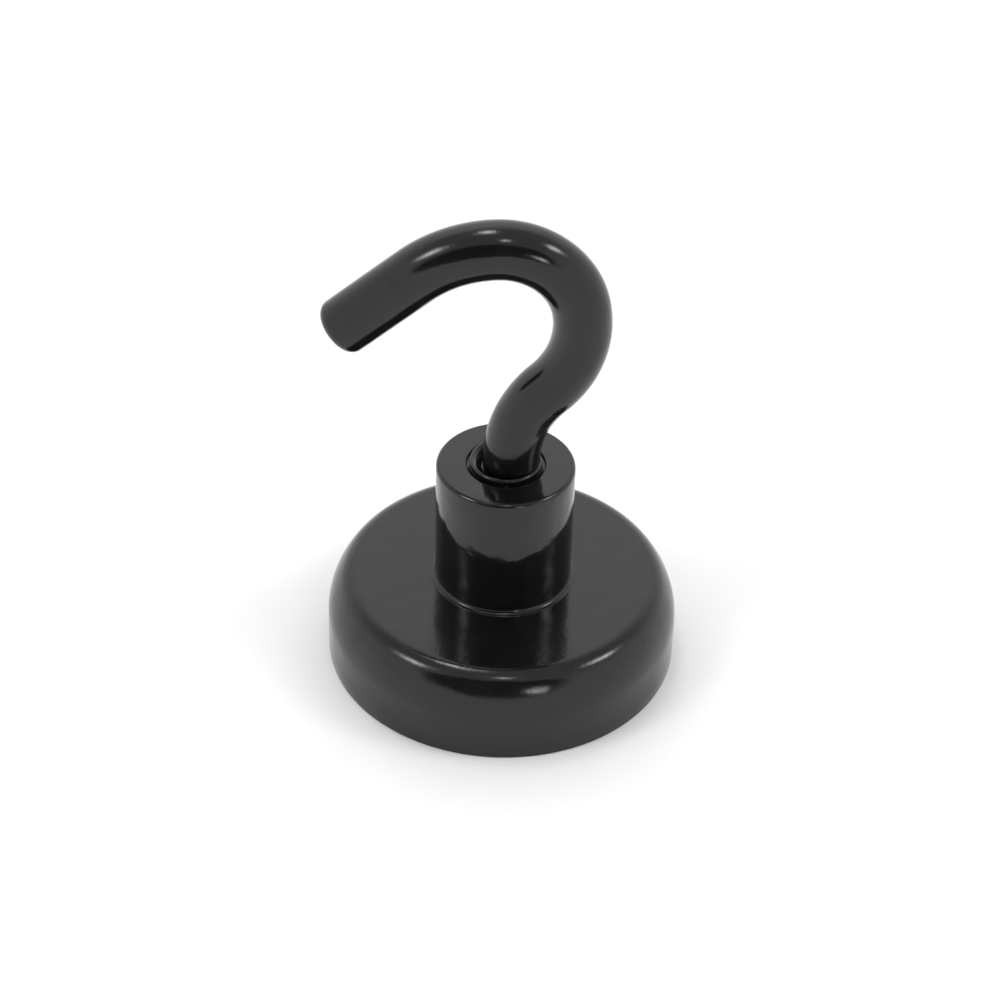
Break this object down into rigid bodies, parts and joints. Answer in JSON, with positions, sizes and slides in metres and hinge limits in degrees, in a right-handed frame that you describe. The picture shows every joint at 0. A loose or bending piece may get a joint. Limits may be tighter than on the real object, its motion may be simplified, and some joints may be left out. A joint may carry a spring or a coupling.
{
  "type": "magnet fishing magnet",
  "caption": "Small coated pot magnet with a raised threaded bush and a screwed-in open hook for a line or ring.",
  "frame": {"origin": "centre of the flat working face underneath the pot", "axes": "+Z out of the pot's roof along the bush and thread, +X towards the hook's bend, -X towards the hook's tip"},
  "size_m": [0.0321, 0.032, 0.0454],
  "materials": {
    "pot_coating": "glossy black coating on steel",
    "bush_coating": "glossy black coating on steel",
    "adhesive": "cured glue",
    "magnet_plating": "nickel plating",
    "ring_brass": "turned brass",
    "seal_resin": "cast black resin",
    "collar_coating": "glossy black coating on steel",
    "hook_coating": "glossy black coating on steel"
  },
  "bodies": {
    "pot": {"pot_cup": "pot_coating", "threaded_bush": "bush_coating", "adhesive_bed": "adhesive", "magnet_disc": "magnet_plating", "gap_ring": "ring_brass", "resin_seal": "seal_resin"},
    "collar": {"stop_collar": "collar_coating"},
    "hook": {"hook": "hook_coating"}
  },
  "joints": [
    {"name": "screw_travel", "type": "slide", "parent": "pot", "child": "collar", "axis": [0, 0, 1], "range_m": [0, 0.0055]},
    {"name": "hook_turn", "type": "hinge", "parent": "collar", "child": "hook", "pos_m": [0, 0, 0.0207], "axis": [0, 0, 1], "range_deg": [0, 1980]}
  ],
  "couplings": [
    {"joint": "screw_travel", "follows": "hook_turn", "m_per_rad": 0.00015915}
  ]
}
